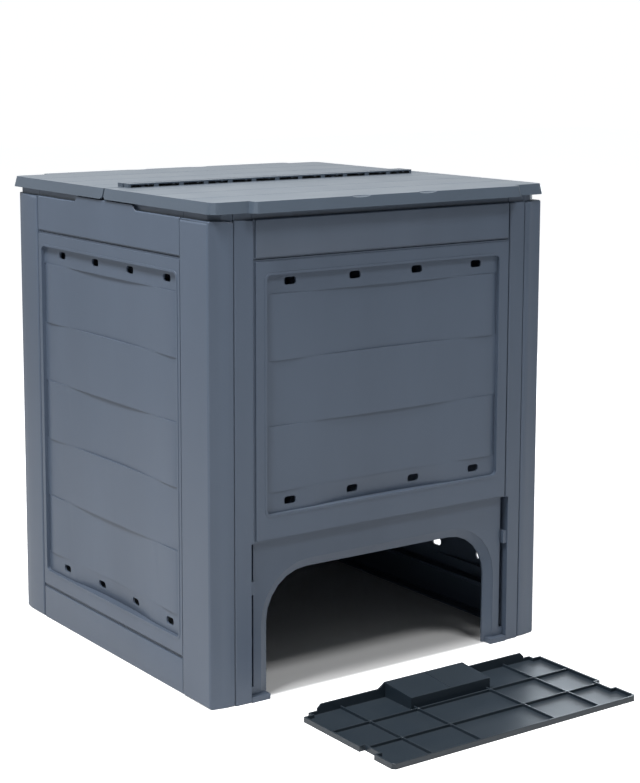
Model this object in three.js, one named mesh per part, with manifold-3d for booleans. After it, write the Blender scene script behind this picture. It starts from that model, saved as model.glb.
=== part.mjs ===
// Compost bin with a two-flap lid and a loose emptying hatch.
// Millimetres, +Z up. The front wall, with the hatch opening, faces -Y.
// The origin is on the ground, in the middle of the footprint of the bin and
// of the hatch that lies on the ground in front of it.

import * as THREE from 'three';
import { mergeVertices } from 'three/addons/utils/BufferGeometryUtils.js';
import Module from 'manifold-3d';

const wasm = await Module();
wasm.setup();

// Overall size of the walls
const binWidth = 600;
const binDepth = 600;
const wallHeight = 686;

// Moulded shells and the gaps between them
const shell = 3;
const seam = 0.6;
const flangeDepth = 22;
const edgeBevel = 1.4;
const panelInset = 0.6;
const overrun = 5;
const cornerSteps = 3;

// Corner posts: a wide leg on the side wall, a narrow curved one on the front or back wall.
// The shares place the points of a curved face between its two ends: along the leg, then in depth.
const sideLeg = 83;
const frontLeg = 37;
const frontPostProud = 1.6;
const frontPostFlat = 12;
const frontPostTurn = 2.4;
const cornerSetback = 9.6;
const legSetback = 2.9;
const frontFaceShares = [[0.09, 0.88], [0.4, 0.61], [0.7, 0.13]];
const backCornerSetback = 8.5;
const backCornerDepth = 9;
const backSideShares = [[0.81, 0], [0.6, 0.12], [0.41, 0.24], [0.265, 0.5], [0.127, 0.82]];
const topRound = 5;
const footRound = 3;

// Stiles beside the posts
const stileWidth = 31;

// Rails over and under the panels
const topRailHeight = 56;
const bottomRailHeight = 55;
const upstandSetback = 6;
const upstandWall = 2.5;

// Sunken field of a panel, its planks, and the flat strips over and under them
const recessDepth = 5;
const recessCorner = 7;
const beadWidth = 3.5;
const beadProud = 0.6;
const plankWave = 3;
const stripLean = 3.2;
const sideFieldMargin = 13;
const frontFieldMargin = 21;
const fieldTopMargin = 22.5;
const sideFieldFoot = 26;
const frontFieldFoot = 38;
const topStrip = 27.5;
const sideBottomStrip = 31.5;
const frontBottomStrip = 30.5;
const sidePlanks = 5;
const frontPlanks = 3;
// Faces of the field's bands across half a wall, from its middle to its end: first the places, then
// the depths of a flat band, of a wavy plank and of the lowest strip. Above 0 is hollow, below it proud.
const bandPlaceShares = [0, 0.15, 0.3, 0.45, 0.58, 0.7, 0.8, 0.88, 0.93, 0.965, 1];
const flatBandShares = bandPlaceShares.map(() => 0);
const wavyBandShares = [1, 0.97, 0.82, 0.52, 0.18, -0.2, -0.48, -0.6, -0.5, -0.1, 0.6];
const footBandShares = [1.15, 1.12, 0.95, 0.6, 0.1, 0, 0, 0, 0, 0, 0];

// Vent slots
const slotWidth = 20;
const slotHeight = 11;
const slotCorner = 4;
const slotCount = 4;
const slotDrop = 10.5;
const sideSlotMargin = 46.5;
const frontSlotMargin = 42.25;
const sideSlotShift = 14;

// Hatch opening in the foot of the front wall
const openingHeight = 231;
const frameMargin = 3;
const archMargin = 27;
const archDrop = 52;
const archCorner = 70;
const archLip = 14;
const archLipDepth = 8;
const archSteps = 6;
const frameSetback = 9.2;
const frameFlange = 12;
const stileNotch = 5;
const lugShare = 0.68;
const lugHeight = 19;
const lugReach = 2;
const frameFootWidth = 31;
const frameFootHeight = 8;
const frameFootTop = 24;
const frameHeelWidth = 12;

// Loose hatch
const hatchSideGap = 14;
const hatchTopGap = 22;
const hatchRimHeight = 8;
const hatchRimWall = 2.5;
const hatchAway = 90;
const hatchLift = 0.6;
const hatchCorner = 4;
const ribWall = 2;
const ribHeight = 7;
const ribRowShares = [0.335, 0.67];
const ribColumnShares = [0.303, 0.688];
const sideNotchShare = 0.65;
const sideNotchLength = 32;
const sideNotchDepth = 9;
const hatchFlangeInset = 28;
const hatchFlangeHeight = 17;
const hatchFlangeRound = 6;
const gripWidth = 144;
const gripDepth = 62;
const gripHeight = 25;
const gripInnerHeight = 20;
const gripOpening = 31;
const gripFlare = 12;
const footClearance = 1.5;

// Lid
const skirtHeight = 16;
const skirtGap = 9.5;
const skirtFlare = 4;
const skirtWall = 2.8;
const lidInset = 2;
const lidCorner = 12;
const tabInset = 61;
const tabReach = 16;
const tabCorner = 8;
const grooveWidth = 3;
const grooveDepth = 1;
const grooveShares = [0.2, 0.47, 0.745];
const lidRibWall = 2;
const lidRibHeight = 4;
const seatRibInset = 23;
const seatRibHeight = 7;
const bossRadius = 5;
const bossBore = 3;
const bossHeight = 7;
const bossShare = 0.33;
const bossInset = 15;
const clipReach = 38;
const clipInset = 16.5;
const clipWidth = 7;
const clipProng = 2.5;
const clipGap = 5;
const clipNib = 3;
const clipNibHeight = 6;
const clipEndGap = 1.2;
const scoopLength = 34;
const scoopReach = 7;
const scoopDepth = 2.5;
const scoopShare = 0.1;

// Lid hinge: a rod for each flap, both held by the beam under the middle of the lid.
// The rods lie in a raised rim on each flap, open between its knuckles.
const rodSetback = 10;
const rodRadius = 1.8;
const runningGap = 0.3;
const middleGap = 4;
const rimDepth = 16;
const rimHeight = 6;
const rimWall = 2;
const rimEnd = 4;
const rimInset = 38;
const rodEnd = 2;
const knuckleWidth = 8;
const knuckleCount = 11;
const knuckleDrop = 6;
const heelHeight = 12;
const heelLength = 5;
const beamWidth = 28;
const beamHeight = 22;
const beamDrop = 10.5;
const bracketWidth = 6;
const bracketRadius = 3.6;
const bracketPitches = [2.5, 5.5];
const saddleShare = 0.28;
const saddleRamp = 10;
const saddleGap = 2;
const shelfWall = 3;
const shelfReach = 24;
const roundSides = 16;

const lidColor = 0x6b737c;
const wallColor = 0x5b646d;
const hatchColor = 0x343c44;
const rodColor = 0x2e3338;

// Places worked out from the sizes above
const halfWidth = binWidth / 2;
const halfDepth = binDepth / 2;
const frontStileStart = halfWidth - frontLeg;
const frontPanelHalf = frontStileStart - stileWidth;
const sidePanelHalf = halfDepth - sideLeg;
const railSeamHeight = wallHeight - topRailHeight;
const footSeamHeight = bottomRailHeight;
const fieldTop = railSeamHeight - fieldTopMargin;
const plankTop = fieldTop - topStrip;
const frameHalfWidth = frontPanelHalf - frameMargin;
const archHalfWidth = frameHalfWidth - archMargin;
const archHeight = openingHeight - archDrop;
const lugBottom = openingHeight * lugShare;
const hatchWidth = 2 * (frontPanelHalf - hatchSideGap);
const hatchHeight = openingHeight - hatchTopGap;
const sideNotchStart = hatchHeight * sideNotchShare;
const skirtBottom = wallHeight + skirtGap;
const lidTop = skirtBottom + skirtHeight;
const upstandTop = lidTop - skirtWall - runningGap;
const lidReach = halfDepth - lidInset;
const lidHalfWidth = halfWidth - lidInset;
const tabHalfLength = halfWidth - tabInset;
const rimStart = middleGap / 2;
const rimHalf = halfWidth - rimInset;
const rodHalfLength = rimHalf + rodEnd;
const knucklePitch = 2 * rimHalf / (knuckleCount + 1);
const beamTop = lidTop - beamDrop;
const beamBottom = beamTop - beamHeight;
const beamHalf = halfWidth - upstandSetback - upstandWall - runningGap;
const notchHalf = beamWidth / 2 + 3 * shell;
const saddleHalfLength = halfDepth * saddleShare;

// Solids: closed meshes that can be joined and cut

function solidOf(geometry) {
  const bare = geometry.clone();
  bare.deleteAttribute('normal');
  bare.deleteAttribute('uv');
  const merged = mergeVertices(bare, 1e-4);
  return new wasm.Manifold(new wasm.Mesh({
    numProp: 3,
    vertProperties: new Float32Array(merged.attributes.position.array),
    triVerts: Uint32Array.from(merged.index.array),
  }));
}

function geometryOf(solid) {
  const mesh = solid.getMesh();
  const geometry = new THREE.BufferGeometry();
  geometry.setAttribute('position', new THREE.BufferAttribute(mesh.vertProperties, 3));
  geometry.setIndex(new THREE.BufferAttribute(mesh.triVerts, 1));
  geometry.computeVertexNormals();
  return geometry;
}

function joined(solids) {
  return solids.reduce((whole, solid) => whole.add(solid));
}

function cutBy(solid, cutters) {
  return cutters.reduce((whole, cutter) => whole.subtract(cutter), solid);
}

function moved(geometry, x, y, z) {
  return geometry.translate(x, y, z);
}

function box(x0, x1, y0, y1, z0, z1) {
  const geometry = new THREE.BoxGeometry(x1 - x0, y1 - y0, z1 - z0);
  return solidOf(moved(geometry, (x0 + x1) / 2, (y0 + y1) / 2, (z0 + z1) / 2));
}

// A shape from corner points, or the shape given
function shapeOf(points) {
  return points instanceof THREE.Shape ? points : new THREE.Shape(points.map(([a, b]) => new THREE.Vector2(a, b)));
}

function extruded(points, length) {
  return new THREE.ExtrudeGeometry(shapeOf(points), {
    depth: length,
    bevelEnabled: false,
    curveSegments: cornerSteps,
  });
}

// Outline in X and Y, raised along Z
function prismZ(points, z0, z1) {
  return solidOf(moved(extruded(points, z1 - z0), 0, 0, z0));
}

// Outline in X and Z, run along Y
function prismY(points, y0, y1) {
  const turn = new THREE.Matrix4().makeBasis(
    new THREE.Vector3(1, 0, 0), new THREE.Vector3(0, 0, 1), new THREE.Vector3(0, -1, 0));
  return solidOf(moved(extruded(points, y1 - y0).applyMatrix4(turn), 0, y1, 0));
}

// Outline in Y and Z, run along X
function prismX(points, x0, x1) {
  const turn = new THREE.Matrix4().makeBasis(
    new THREE.Vector3(0, 1, 0), new THREE.Vector3(0, 0, 1), new THREE.Vector3(1, 0, 0));
  return solidOf(moved(extruded(points, x1 - x0).applyMatrix4(turn), x0, 0, 0));
}

function rodAlongX(radius, x0, x1, y, z) {
  const geometry = new THREE.CylinderGeometry(radius, radius, x1 - x0, roundSides);
  geometry.rotateZ(-Math.PI / 2);
  return solidOf(moved(geometry, (x0 + x1) / 2, y, z));
}

function mirrored(solid, axis) {
  const geometry = geometryOf(solid);
  const scale = new THREE.Vector3(1, 1, 1);
  scale[axis] = -1;
  geometry.scale(scale.x, scale.y, scale.z);
  const index = geometry.index.array;
  for (let i = 0; i < index.length; i += 3) {
    [index[i], index[i + 1]] = [index[i + 1], index[i]];
  }
  return solidOf(geometry);
}

// Outlines

function roundedRectangle(a0, a1, b0, b1, radius) {
  const shape = new THREE.Shape();
  shape.moveTo(a0 + radius, b0);
  shape.lineTo(a1 - radius, b0);
  shape.absarc(a1 - radius, b0 + radius, radius, -Math.PI / 2, 0);
  shape.lineTo(a1, b1 - radius);
  shape.absarc(a1 - radius, b1 - radius, radius, 0, Math.PI / 2);
  shape.lineTo(a0 + radius, b1);
  shape.absarc(a0 + radius, b1 - radius, radius, Math.PI / 2, Math.PI);
  shape.lineTo(a0, b0 + radius);
  shape.absarc(a0 + radius, b0 + radius, radius, Math.PI, 3 * Math.PI / 2);
  return shape;
}

// A band's outline: bevelled at both front corners, from its front at y0 back to y1
function bevelledPlan(a0, a1, y0, y1) {
  return [
    [a0, y0 + edgeBevel], [a0 + edgeBevel, y0], [a1 - edgeBevel, y0], [a1, y0 + edgeBevel],
    [a1, y1], [a0, y1],
  ];
}

// The same in Y and Z
function bevelledSection(z0, z1, y0, y1) {
  return [
    [y0 + edgeBevel, z0], [y0, z0 + edgeBevel], [y0, z1 - edgeBevel], [y0 + edgeBevel, z1],
    [y1, z1], [y1, z0],
  ];
}

// Walls. Each is built as the front wall is: across along X, its outer plane at y = 0.

function tray(halfSpan, z0, z1) {
  const outer = prismZ(bevelledPlan(-halfSpan, halfSpan, panelInset, flangeDepth), z0, z1)
    .intersect(prismX(bevelledSection(z0, z1, panelInset, flangeDepth), -halfSpan, halfSpan));
  const hollow = box(-halfSpan + shell, halfSpan - shell, panelInset + shell, flangeDepth + overrun,
    z0 + shell, z1 - shell);
  return outer.subtract(hollow);
}

// Front edge of a band across the field, its depth shares times the wave, with an extra depth
function bandEdge(halfSpan, shares, wave, extra) {
  const right = bandPlaceShares.map((place, i) => [
    halfSpan * place, panelInset + recessDepth + wave * shares[i] + extra,
  ]);
  const left = right.slice(1).reverse().map(([x, y]) => [-x, y]);
  return [...left, ...right];
}

// A band of the field, its foot hollowed deeper than its head by the lean
function board(halfSpan, shares, z0, z1, lean) {
  const outline = (wave) => [
    ...bandEdge(halfSpan, shares, wave, 0), ...bandEdge(halfSpan, shares, wave, shell).reverse(),
  ];
  return loft(outline(plankWave), z1, outline(plankWave + lean), z0);
}

// The ledge between two bands: each face is carried back to the rear of the deeper one
function ledge(halfSpan, above, below, z) {
  const deeper = above.map((share, i) => Math.max(share, below[i]));
  const slab = (shares, z0, z1) => {
    const outline = [
      ...bandEdge(halfSpan, shares, plankWave, 0),
      ...bandEdge(halfSpan, deeper, plankWave, shell).reverse(),
    ];
    return loft(outline, z1, outline, z0);
  };
  return joined([
    slab(above, z, z + shell), slab(below, z - shell, z), slab(deeper, z - shell, z + shell),
  ]);
}

function slotRow(z, pitch, shift) {
  const slots = [];
  for (let i = 0; i < slotCount; i += 1) {
    const x = (i - (slotCount - 1) / 2) * pitch + shift;
    const outline = roundedRectangle(x - slotWidth / 2, x + slotWidth / 2, z - slotHeight / 2,
      z + slotHeight / 2, slotCorner);
    slots.push(prismY(outline, -overrun, flangeDepth));
  }
  return slots;
}

// A wall panel: a beaded, sunken field of planks, wavy and flat by turns, and its vent slots
function wallPanel({ halfSpan, z0, z1, fieldMargin, fieldFoot, bottomStrip, planks, slotMargin, slotShift }) {
  const half = halfSpan + seam / 2 - fieldMargin;
  const plankHalf = half + shell / 2;
  const fieldBottom = z0 + fieldFoot;
  const field = roundedRectangle(-half, half, fieldBottom, fieldTop, recessCorner);
  const rim = roundedRectangle(-half - shell, half + shell, fieldBottom - shell, fieldTop + shell,
    recessCorner + shell);
  const rimBack = panelInset + recessDepth + (plankWave + stripLean) * Math.max(...footBandShares) + shell;
  const bead = roundedRectangle(-half - beadWidth, half + beadWidth, fieldBottom - beadWidth,
    fieldTop + beadWidth, recessCorner + beadWidth);
  const plankBottom = fieldBottom + bottomStrip;
  const plankPitch = (plankTop - plankBottom) / planks;
  const slotPitch = 2 * (half - slotMargin) / (slotCount - 1);
  const pieces = [
    tray(halfSpan, z0, z1),
    prismY(rim, panelInset + shell / 2, rimBack),
    prismY(bead, panelInset - beadProud, panelInset + shell / 2),
  ];
  const body = joined(pieces).subtract(prismY(field, -overrun, flangeDepth + overrun));
  const bands = [flatBandShares];
  for (let i = 0; i < planks; i += 1) {
    bands.push(i % 2 === 0 ? wavyBandShares : flatBandShares);
  }
  bands.push(footBandShares, footBandShares);
  const heights = [fieldTop + shell / 2];
  for (let i = 0; i <= planks; i += 1) {
    heights.push(plankTop - i * plankPitch);
  }
  heights.push(plankBottom - shell, fieldBottom - shell / 2);
  const last = bands.length - 1;
  const boards = bands.map((shares, i) => (
    board(plankHalf, shares, heights[i + 1], heights[i], i === last ? stripLean : 0)));
  for (let i = 1; i < last; i += 1) {
    boards.push(ledge(plankHalf, bands[i - 1], bands[i], heights[i]));
  }
  const filled = joined([body, ...boards]);
  return cutBy(filled, [
    ...slotRow(fieldTop - slotDrop, slotPitch, slotShift),
    ...slotRow((plankBottom + fieldBottom) / 2, slotPitch, slotShift),
  ]);
}

// The upstand that the lid shuts over
function upstand(a0, a1, top) {
  return box(a0, a1, upstandSetback, upstandSetback + upstandWall, wallHeight - shell, top);
}

function frontTopRail(halfSpan) {
  return joined([
    tray(halfSpan, railSeamHeight + seam / 2, wallHeight),
    upstand(-halfSpan, halfSpan, upstandTop),
  ]);
}

// A side rail also has the raised shoulder at the lid's hinge and the shelf for the hinge beam
function sideTopRail(halfSpan) {
  const shoulderTop = skirtBottom - saddleGap;
  const shoulder = prismY([
    [-saddleHalfLength - saddleRamp, wallHeight - shell], [saddleHalfLength + saddleRamp, wallHeight - shell],
    [saddleHalfLength, shoulderTop], [-saddleHalfLength, shoulderTop],
  ], panelInset, upstandSetback + upstandWall / 2);
  const notch = box(-notchHalf, notchHalf, upstandSetback - overrun, upstandSetback + upstandWall + overrun,
    shoulderTop, lidTop);
  const shelf = box(-notchHalf, notchHalf, panelInset + shell / 2, shelfReach,
    beamBottom - runningGap - shelfWall, beamBottom - runningGap);
  const clearing = box(-notchHalf, notchHalf, upstandSetback + upstandWall, shelfReach,
    beamBottom - runningGap, lidTop);
  return joined([
    tray(halfSpan, railSeamHeight + seam / 2, wallHeight),
    upstand(-halfSpan, halfSpan, upstandTop),
    shoulder,
  ]).subtract(notch).subtract(clearing).add(shelf);
}

function bottomRail(halfSpan) {
  return tray(halfSpan, 0, footSeamHeight - seam / 2);
}

// Corner posts, built for the left corner in front with that corner at the origin: X along the
// front wall, Y along the side wall. A back post is built the same way and mirrored.

// Points of the outer faces from the end of the side leg to the end of the other leg
function frontPostOutline(inset, legSide, legFront) {
  const side = inset - frontPostProud;
  const face = frontFaceShares.map(([along, depth]) => [
    frontLeg * along + inset * (1 - along), legSetback + (cornerSetback - legSetback) * depth + inset,
  ]);
  return [
    [side, legSide],
    [side, frontPostFlat + inset],
    [side + frontPostTurn / 2, frontPostFlat - frontPostTurn + inset],
    ...face,
    [legFront, legSetback + inset],
  ];
}

function backPostOutline(inset, legSide, legFront) {
  const side = backSideShares.map(([along, depth]) => [
    backCornerSetback * depth + inset, sideLeg * along + inset * (1 - along),
  ]);
  return [
    [inset, legSide],
    ...side,
    [backCornerSetback + inset, backCornerDepth + inset],
    [legFront, legSetback + inset],
  ];
}

// A profile in one across direction and Z with its outer top and bottom corners rounded
function roundedEnds(start, reach) {
  return [
    [start + footRound, 0], [start, footRound], [start, wallHeight - topRound],
    [start + topRound * (1 - Math.SQRT1_2), wallHeight - topRound * (1 - Math.SQRT1_2)],
    [start + topRound, wallHeight], [reach, wallHeight], [reach, 0],
  ];
}

function cornerPost(postOutline) {
  const side = sideLeg - seam / 2;
  const front = frontLeg - seam / 2;
  const outer = postOutline(0, side, front);
  const sideFace = outer[0][0];
  const filled = prismZ([
    [flangeDepth, side], [sideFace + edgeBevel, side], [sideFace, side - edgeBevel],
    ...outer.slice(1, -1),
    [front - edgeBevel, legSetback], [front, legSetback + edgeBevel],
    [front, flangeDepth], [flangeDepth, flangeDepth],
  ], 0, wallHeight)
    .intersect(prismX(roundedEnds(legSetback, side + overrun), sideFace, front))
    .intersect(prismY(roundedEnds(sideFace, side + overrun), 0, side));
  const inner = postOutline(shell, side - shell, front - shell);
  const hollow = prismZ([
    ...inner, [front - shell, flangeDepth + overrun],
    [flangeDepth + overrun, flangeDepth + overrun], [flangeDepth + overrun, side - shell],
  ], -overrun, wallHeight - shell);
  const nib = box(clipInset - clipWidth / 2, clipInset + clipWidth / 2,
    clipReach - clipNib / 2, clipReach + clipNib / 2, wallHeight - shell, wallHeight + clipNibHeight);
  const turn = cornerSetback + upstandSetback;
  const lip = prismZ([
    [upstandSetback, side], [upstandSetback, turn + upstandSetback], [turn / 2 + upstandSetback, turn],
    [turn + upstandSetback, cornerSetback], [front, upstandSetback],
    [front, upstandSetback + upstandWall], [turn + upstandSetback, cornerSetback + upstandWall],
    [turn / 2 + upstandSetback + upstandWall / 2, turn + upstandWall],
    [upstandSetback + upstandWall, turn + upstandSetback], [upstandSetback + upstandWall, side],
  ], wallHeight - shell, upstandTop);
  return joined([filled.subtract(hollow), nib, lip]);
}

// Stile beside a post, for the left end of the front wall, in the wall's own X

function stileBody() {
  const a0 = -frontStileStart + seam / 2;
  const a1 = -frontPanelHalf - seam / 2;
  const outer = prismZ([
    [a0, legSetback + edgeBevel], [a0 + edgeBevel, legSetback], [a1 - edgeBevel, panelInset],
    [a1, panelInset + edgeBevel], [a1, flangeDepth], [a0, flangeDepth],
  ], 0, wallHeight)
    .intersect(prismX(roundedEnds(0, flangeDepth + overrun), a0, a1));
  const hollow = prismZ([
    [a0 + shell, legSetback + shell], [a1 - shell, panelInset + shell],
    [a1 - shell, flangeDepth + overrun], [a0 + shell, flangeDepth + overrun],
  ], -overrun, wallHeight - shell);
  const lip = box(a0, a1, upstandSetback, upstandSetback + upstandWall, wallHeight - shell, upstandTop);
  return outer.subtract(hollow).add(lip);
}

// The front stiles step back beside the hatch opening, and carry a lug there
function frontStile() {
  const edge = -frontPanelHalf - seam / 2;
  const stepped = edge - stileNotch;
  const opening = box(stepped, edge + overrun, -overrun, flangeDepth + overrun, -overrun, openingHeight);
  const flange = box(stepped - shell, stepped, legSetback, flangeDepth, 0, openingHeight + shell);
  const sill = box(stepped - shell, edge, legSetback, flangeDepth, openingHeight, openingHeight + shell);
  const lug = box(stepped - shell, edge + lugReach, legSetback, flangeDepth, lugBottom,
    lugBottom + lugHeight);
  return joined([stileBody().subtract(opening), flange, sill, lug]);
}

// Arched surround of the hatch opening

function archPath(offset) {
  const half = archHalfWidth + offset;
  const top = archHeight + offset;
  const radius = archCorner + offset;
  const points = [[-half, -overrun]];
  for (let i = 0; i <= archSteps; i += 1) {
    const angle = Math.PI - (Math.PI / 2) * (i / archSteps);
    points.push([-half + radius + radius * Math.cos(angle), top - radius + radius * Math.sin(angle)]);
  }
  const right = points.map(([x, z]) => [-x, z]).reverse();
  return [...points, ...right];
}

// A band with a four-sided section, [offset, y] at each corner, run along the arch
function archBand(section) {
  const rails = section.map(([offset, y]) => archPath(offset).map(([x, z]) => [x, y, z]));
  const stations = rails[0].length;
  const sides = section.length;
  const positions = [];
  for (let i = 0; i < stations; i += 1) {
    for (let j = 0; j < sides; j += 1) {
      positions.push(...rails[j][i]);
    }
  }
  const index = [];
  for (let i = 0; i < stations - 1; i += 1) {
    for (let j = 0; j < sides; j += 1) {
      const a = i * sides + j;
      const b = i * sides + (j + 1) % sides;
      index.push(a, b, b + sides, a, b + sides, a + sides);
    }
  }
  const last = (stations - 1) * sides;
  for (let j = 1; j < sides - 1; j += 1) {
    index.push(0, j + 1, j, last, last + j, last + j + 1);
  }
  const geometry = new THREE.BufferGeometry();
  geometry.setAttribute('position', new THREE.Float32BufferAttribute(positions, 3));
  geometry.setIndex(index);
  return solidOf(geometry);
}

function hatchFrame() {
  const top = openingHeight - seam;
  const back = frameSetback + frameFlange;
  const shellBox = box(-frameHalfWidth, frameHalfWidth, frameSetback, back, 0, top);
  const hollow = box(-frameHalfWidth + shell, frameHalfWidth - shell, frameSetback + shell, back + overrun,
    -overrun, top - shell);
  const opening = prismY(archPath(archLip), -overrun, back + overrun);
  const lipFront = [archLip + shell / 2, frameSetback];
  const lip = archBand([
    lipFront, [0, frameSetback + archLipDepth],
    [0, frameSetback + archLipDepth + shell], [archLip + shell / 2, frameSetback + shell],
  ]);
  const ground = box(-binWidth, binWidth, -binDepth, binDepth, -2 * overrun, 0);
  const reach = frontPanelHalf + stileNotch - seam / 2;
  const feet = [-1, 1].flatMap((side) => {
    const outer = side * reach;
    const inner = side * (reach - frameFootWidth);
    const heel = side * (reach - frameHeelWidth);
    return [
      box(Math.min(outer, inner), Math.max(outer, inner), panelInset, back, 0, frameFootHeight),
      box(Math.min(outer, heel), Math.max(outer, heel), frameSetback, back, 0, frameFootTop - shell - seam),
    ];
  });
  return joined([shellBox.subtract(hollow).subtract(opening), lip, ...feet]).subtract(ground);
}

// Loose hatch, lying inside up: X across, -Y from its bottom edge to its top edge, Z its thickness

function hatchOutline(inset) {
  const left = -hatchWidth / 2 + inset;
  const right = hatchWidth / 2 - inset;
  const reach = frontPanelHalf + stileNotch - seam / 2 - frameFootWidth - footClearance - inset;
  const footDepth = frameFootHeight + footClearance - hatchLift + inset;
  const notch0 = sideNotchStart - inset;
  const notch1 = sideNotchStart + sideNotchLength + inset;
  const far = hatchHeight - inset;
  return [
    [-reach, -inset], [-reach, -footDepth], [left, -footDepth],
    [left, -notch0], [left + sideNotchDepth, -notch0], [left + sideNotchDepth, -notch1], [left, -notch1],
    [left, -far + hatchCorner], [left + hatchCorner, -far], [right - hatchCorner, -far],
    [right, -far + hatchCorner], [right, -notch1], [right - sideNotchDepth, -notch1],
    [right - sideNotchDepth, -notch0], [right, -notch0], [right, -footDepth],
    [reach, -footDepth], [reach, -inset],
  ];
}

function hatchGrip() {
  const half = gripWidth / 2;
  const outer = prismX([
    [0, 0], [-gripDepth, 0], [-gripDepth, gripInnerHeight], [0, gripHeight],
  ], -half, half);
  const cavity = prismX([
    [overrun, -overrun], [-gripOpening, -overrun], [-gripOpening, 0],
    [-gripDepth + hatchRimWall, shell], [-gripDepth + hatchRimWall, gripInnerHeight - hatchRimWall],
    [0, gripHeight - hatchRimWall], [overrun, gripHeight - hatchRimWall],
  ], -half + hatchRimWall, half - hatchRimWall);
  return { outer, cavity };
}

// Crossing ribs: a plate with the pockets between the ribs cut out of it
function ribGrid() {
  const columns = ribColumnShares.map((share) => share * hatchWidth / 2);
  const rows = ribRowShares.map((share) => -share * hatchHeight);
  const edges = (places, first, last) => [
    first, ...places.flatMap((place) => [place - ribWall / 2, place + ribWall / 2]), last,
  ];
  const acrossEdges = edges([...columns.map((x) => -x).reverse(), ...columns], -hatchWidth, hatchWidth);
  const alongEdges = edges(rows.reverse(), -2 * hatchHeight, hatchHeight);
  const pockets = [];
  for (let i = 0; i < acrossEdges.length; i += 2) {
    for (let j = 0; j < alongEdges.length; j += 2) {
      pockets.push(box(acrossEdges[i], acrossEdges[i + 1], alongEdges[j], alongEdges[j + 1],
        0, ribHeight + overrun));
    }
  }
  return cutBy(prismZ(hatchOutline(hatchRimWall / 2), shell / 2, ribHeight), pockets);
}

function hatch() {
  const floor = prismZ(hatchOutline(0), 0, shell);
  const rim = prismZ(hatchOutline(0), 0, hatchRimHeight)
    .subtract(prismZ(hatchOutline(hatchRimWall), -overrun, hatchRimHeight + overrun));
  const wing = hatchWidth / 2 - hatchFlangeInset;
  const grip = gripWidth / 2;
  const flange = prismY([
    [-wing, shell / 2], [wing, shell / 2], [wing, hatchFlangeHeight - hatchFlangeRound],
    [wing - hatchFlangeRound, hatchFlangeHeight], [grip + gripFlare, hatchFlangeHeight],
    [grip, gripHeight], [-grip, gripHeight], [-grip - gripFlare, hatchFlangeHeight],
    [-wing + hatchFlangeRound, hatchFlangeHeight], [-wing, hatchFlangeHeight - hatchFlangeRound],
  ], -hatchRimWall, 0);
  const { outer, cavity } = hatchGrip();
  const spine = prismX([
    [-shell, gripHeight], [-gripDepth + shell, gripInnerHeight - ribWall],
    [-gripDepth + shell, gripInnerHeight + ribWall / 2], [-shell, gripHeight + ribWall / 2],
  ], -ribWall / 2, ribWall / 2);
  return joined([floor, rim, ribGrid(), flange, outer, spine]).subtract(cavity);
}

// Lid flap, built as the back one: the lid's middle line along X at y = 0, the flap out along +Y,
// its top face at z = 0. Offset widens the outline, as the flaring skirt does.

function arcPoints(cx, cy, radius, from, to) {
  const points = [];
  for (let i = 0; i <= cornerSteps; i += 1) {
    const angle = THREE.MathUtils.degToRad(from + (to - from) * i / cornerSteps);
    points.push([cx + radius * Math.cos(angle), cy + radius * Math.sin(angle)]);
  }
  return points;
}

function flapOutline(offset) {
  const half = lidHalfWidth + offset;
  const far = lidReach + offset;
  const tabHalf = tabHalfLength + offset;
  const tabFar = lidReach + tabReach + offset;
  const corner = lidCorner + offset;
  const tab = tabCorner + offset;
  const right = [
    [half, rimStart],
    ...arcPoints(half - corner, far - corner, corner, 0, 90),
    [tabHalf, far],
    ...arcPoints(tabHalf - tab, tabFar - tab, tab, 0, 90),
  ];
  const left = right.map(([x, y]) => [-x, y]).reverse();
  return [...right, ...left];
}

// A body between two outlines with as many points, the first at z0 and the second at z1 below it
function loft(upper, z0, lower, z1) {
  const count = upper.length;
  const positions = [...upper.map(([x, y]) => [x, y, z0]), ...lower.map(([x, y]) => [x, y, z1])].flat();
  const index = [];
  for (let i = 0; i < count; i += 1) {
    const next = (i + 1) % count;
    index.push(i, i + count, next + count, i, next + count, next);
  }
  const cap = (outline) => THREE.ShapeUtils.triangulateShape(outline.map(([x, y]) => new THREE.Vector2(x, y)), []);
  cap(upper).forEach(([a, b, c]) => index.push(a, b, c));
  cap(lower).forEach(([a, b, c]) => index.push(a + count, c + count, b + count));
  const geometry = new THREE.BufferGeometry();
  geometry.setAttribute('position', new THREE.Float32BufferAttribute(positions, 3));
  geometry.setIndex(index);
  return solidOf(geometry);
}

// Knuckle round the rod, from x0 to x1; the ends of the rim have the same section
function flapKnuckle(x0, x1) {
  return prismX([
    [rimStart, rimHeight], [rimDepth, rimHeight], [rimDepth, -skirtWall / 2],
    [rimDepth + skirtWall, -skirtWall / 2], [rimDepth + skirtWall, -knuckleDrop],
    [rodSetback, -knuckleDrop], [rimStart, -skirtWall / 2],
  ], x0, x1);
}

function flapClip(x, y) {
  const tip = wallHeight + clipEndGap - lidTop;
  const x0 = x - clipWidth / 2;
  const x1 = x + clipWidth / 2;
  const root = -skirtWall / 2;
  const step = clipGap / 2;
  return [-1, 1].map((side) => prismX([
    [y + side * step, root], [y + side * (step + clipProng), root],
    [y + side * (step + clipProng), tip + clipProng], [y + side * (step + clipProng / 2), tip],
    [y + side * step, tip + clipProng],
  ], x0, x1));
}

function flapBoss(x, y) {
  const geometry = (radius, z0, z1) => {
    const cylinder = new THREE.CylinderGeometry(radius, radius, z1 - z0, roundSides);
    cylinder.rotateX(Math.PI / 2);
    return solidOf(moved(cylinder, x, y, (z0 + z1) / 2));
  };
  const root = -skirtWall;
  return geometry(bossRadius, root - bossHeight, root + skirtWall / 2)
    .subtract(geometry(bossBore, root - bossHeight - overrun, root));
}

function scoop(x) {
  const geometry = new THREE.SphereGeometry(1, 12, 8);
  geometry.scale(scoopLength / 2, scoopReach, scoopDepth);
  return solidOf(moved(geometry, x, lidReach + tabReach, 0));
}

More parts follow.
